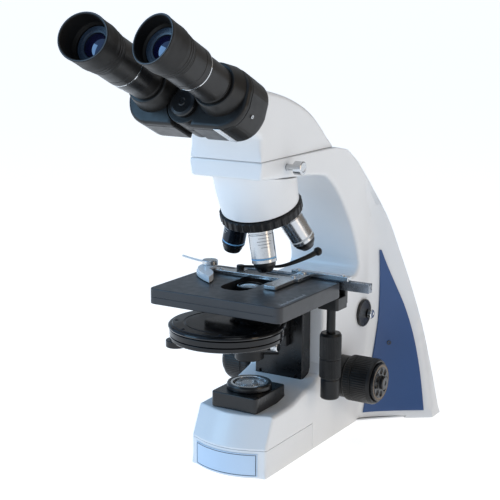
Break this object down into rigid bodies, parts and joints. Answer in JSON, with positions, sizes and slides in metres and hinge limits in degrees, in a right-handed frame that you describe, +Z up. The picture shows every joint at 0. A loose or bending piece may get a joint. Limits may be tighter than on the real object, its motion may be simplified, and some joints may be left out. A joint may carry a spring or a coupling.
{
  "type": "microscope",
  "caption": "Upright binocular laboratory microscope with inclined tubes, revolving nosepiece, mechanical stage, phase turret condenser and coaxial focus knobs",
  "frame": {"origin": "centre of the bounding box footprint, on the table under the base", "axes": "+Z up, -Y towards the user, +X to the user's right; the optical axis is vertical at x = 0, y = -8.65 mm"},
  "size_m": [0.2184, 0.4508, 0.4459],
  "materials": {
    "white_paint": "satin enamel",
    "white_plastic": "satin moulded cover",
    "black_paint": "semi-gloss black enamel",
    "black_plastic": "fine satin",
    "blue_plastic": "satin blue panel",
    "label": "blank plate",
    "satin_steel": "satin",
    "chrome": "polished",
    "rubber": "matte",
    "lens_glass": "coated"
  },
  "bodies": {
    "stand": {"stand_casting": "white_paint", "base_front_cover": "white_plastic", "base_plate": "satin_steel", "foot_front_right": "rubber", "foot_front_left": "rubber", "foot_rear_right": "rubber", "foot_rear_left": "rubber", "front_label_plate": "label", "side_panel_right": "blue_plastic", "side_panel_left": "blue_plastic", "rear_panel": "black_plastic", "power_inlet": "black_plastic", "led_module": "satin_steel", "illuminator_block": "black_paint", "field_lens": "lens_glass", "nosepiece_mount": "white_paint", "axle_spacer": "black_plastic", "focus_stop_disc": "black_plastic"},
    "rocker": {"power_switch": "black_plastic"},
    "dial": {"brightness_dial": "black_plastic"},
    "field_ring": {"field_diaphragm_ring": "black_paint"},
    "head": {"head_housing": "white_paint", "hinge_pin": "black_paint"},
    "clamp_screw": {"head_clamp_screw": "chrome"},
    "wing_right": {"prism_wing_right": "black_paint", "eyepiece_tube_right": "black_paint", "eyepiece_right": "black_paint", "eye_lens_right": "lens_glass"},
    "wing_left": {"prism_wing_left": "black_paint", "eyepiece_tube_left": "black_paint"},
    "eyepiece_focus": {"eyepiece_left": "black_paint", "eye_lens_left": "lens_glass"},
    "diopter": {"diopter_ring": "black_paint"},
    "cup_right": {"eyecup_right": "rubber"},
    "cup_left": {"eyecup_left": "rubber"},
    "turret": {"nosepiece_turret": "black_paint", "objective_4x": "satin_steel", "objective_10x": "black_paint", "objective_40x": "satin_steel", "objective_100x": "satin_steel"},
    "focus_carrier": {"stage_carrier": "black_paint"},
    "stage": {"stage_plate": "black_paint", "stage_rail": "satin_steel", "drive_bracket": "black_paint"},
    "y_knob": {"stage_y_knob": "black_plastic"},
    "x_knob": {"stage_x_knob": "black_plastic"},
    "holder": {"slide_holder": "satin_steel"},
    "finger": {"holder_finger": "satin_steel"},
    "lever": {"holder_lever": "black_plastic"},
    "condenser": {"condenser_carrier": "black_paint", "phase_turret_case": "black_paint", "condenser_top_lens": "lens_glass"},
    "phase_disc": {"phase_wheel": "black_plastic"},
    "iris": {"aperture_ring": "black_plastic"},
    "condenser_screw": {"condenser_clamp_screw": "chrome"},
    "coarse": {"coarse_knobs": "black_plastic"},
    "fine": {"fine_knobs": "black_plastic"},
    "tension": {"tension_collar": "black_plastic"},
    "stop_screw": {"focus_stop_screw": "chrome"}
  },
  "joints": [
    {"name": "head_turn", "type": "hinge", "parent": "stand", "child": "head", "pos_m": [0, -0.00865, 0.3096], "axis": [0, 0, 1], "continuous": true},
    {"name": "head_clamp_turn", "type": "hinge", "parent": "stand", "child": "clamp_screw", "pos_m": [0.05, -0.00865, 0.3005], "axis": [1, 0, 0], "continuous": true},
    {"name": "eye_spacing", "type": "hinge", "parent": "head", "child": "wing_right", "pos_m": [0, -0.10231, 0.35822], "axis": [0, -0.9063, 0.4226], "range_deg": [-21.4, 25]},
    {"name": "eye_spacing_left", "type": "hinge", "parent": "head", "child": "wing_left", "pos_m": [0, -0.10231, 0.35822], "axis": [0, -0.9063, 0.4226], "range_deg": [-25, 21.4]},
    {"name": "diopter_travel", "type": "slide", "parent": "wing_left", "child": "eyepiece_focus", "axis": [0, -0.9063, 0.4226], "range_m": [-0.0025, 0.0025]},
    {"name": "diopter_turn", "type": "hinge", "parent": "eyepiece_focus", "child": "diopter", "pos_m": [-0.0349, -0.15, 0.39557], "axis": [0, -0.9063, 0.4226], "range_deg": [-142, 142]},
    {"name": "eyecup_turn_right", "type": "hinge", "parent": "wing_right", "child": "cup_right", "pos_m": [0.0349, -0.19712, 0.41755], "axis": [0, -0.9063, 0.4226], "continuous": true},
    {"name": "eyecup_turn_left", "type": "hinge", "parent": "eyepiece_focus", "child": "cup_left", "pos_m": [-0.0349, -0.19712, 0.41755], "axis": [0, -0.9063, 0.4226], "continuous": true},
    {"name": "nosepiece_turn", "type": "hinge", "parent": "stand", "child": "turret", "pos_m": [0, 0.01375, 0.2483], "axis": [0, 0.342, -0.9397], "continuous": true},
    {"name": "focus_travel", "type": "slide", "parent": "stand", "child": "focus_carrier", "axis": [0, 0, 1], "range_m": [-0.016, 0.006]},
    {"name": "coarse_turn", "type": "hinge", "parent": "stand", "child": "coarse", "pos_m": [0, 0.10335, 0.0665], "axis": [1, 0, 0], "range_deg": [-160, 60]},
    {"name": "fine_turn", "type": "hinge", "parent": "stand", "child": "fine", "pos_m": [0, 0.10335, 0.0665], "axis": [1, 0, 0], "continuous": true},
    {"name": "tension_turn", "type": "hinge", "parent": "stand", "child": "tension", "pos_m": [0, 0.10335, 0.0665], "axis": [1, 0, 0], "range_deg": [-60, 60]},
    {"name": "focus_stop_turn", "type": "hinge", "parent": "stand", "child": "stop_screw", "pos_m": [0.048, 0.16435, 0.12], "axis": [1, 0, 0], "continuous": true},
    {"name": "stage_y_travel", "type": "slide", "parent": "focus_carrier", "child": "stage", "axis": [0, 1, 0], "range_m": [-0.024, 0.018]},
    {"name": "stage_y_turn", "type": "hinge", "parent": "stage", "child": "y_knob", "pos_m": [0.064, 0.04135, 0.108], "axis": [0, 0, 1], "range_deg": [-175, 132]},
    {"name": "holder_x_travel", "type": "slide", "parent": "stage", "child": "holder", "axis": [1, 0, 0], "range_m": [-0.024, 0.052]},
    {"name": "stage_x_turn", "type": "hinge", "parent": "stage", "child": "x_knob", "pos_m": [0.064, 0.04135, 0.074], "axis": [0, 0, 1], "range_deg": [-160, 335]},
    {"name": "finger_swing", "type": "hinge", "parent": "holder", "child": "finger", "pos_m": [-0.058, 0.00935, 0.19], "axis": [0, 0, 1], "range_deg": [-25, 0], "stiffness_Nm_per_rad": 0.02},
    {"name": "lever_swing", "type": "hinge", "parent": "holder", "child": "lever", "pos_m": [-0.028, 0.01935, 0.19], "axis": [0, 0, 1], "range_deg": [0, 12]},
    {"name": "condenser_travel", "type": "slide", "parent": "focus_carrier", "child": "condenser", "axis": [0, 0, 1], "range_m": [-0.008, 0]},
    {"name": "phase_turn", "type": "hinge", "parent": "condenser", "child": "phase_disc", "pos_m": [0, -0.05065, 0.146], "axis": [0, 0, 1], "continuous": true},
    {"name": "aperture_turn", "type": "hinge", "parent": "condenser", "child": "iris", "pos_m": [0, -0.00865, 0.112], "axis": [0, 0, 1], "range_deg": [-45, 45]},
    {"name": "condenser_clamp_turn", "type": "hinge", "parent": "condenser", "child": "condenser_screw", "pos_m": [0.028, -0.00865, 0.123], "axis": [1, 0, 0], "continuous": true},
    {"name": "field_diaphragm_turn", "type": "hinge", "parent": "stand", "child": "field_ring", "pos_m": [0, -0.00865, 0.08], "axis": [0, 0, 1], "range_deg": [-40, 40]},
    {"name": "brightness_turn", "type": "hinge", "parent": "stand", "child": "dial", "pos_m": [-0.048, 0.01135, 0.042], "axis": [1, 0, 0], "range_deg": [-135, 135]},
    {"name": "power_rock", "type": "hinge", "parent": "stand", "child": "rocker", "pos_m": [0.022, 0.21785, 0.034], "axis": [1, 0, 0], "range_deg": [0, 16]}
  ],
  "couplings": [
    {"joint": "eye_spacing_left", "follows": "eye_spacing", "ratio": -1},
    {"joint": "diopter_turn", "follows": "diopter_travel", "rad_per_m": 977},
    {"joint": "coarse_turn", "follows": "focus_travel", "rad_per_m": 166.7},
    {"joint": "stage_y_turn", "follows": "stage_y_travel", "rad_per_m": 125},
    {"joint": "stage_x_turn", "follows": "holder_x_travel", "rad_per_m": 110},
    {"joint": "lever_swing", "follows": "finger_swing", "ratio": -0.476}
  ]
}
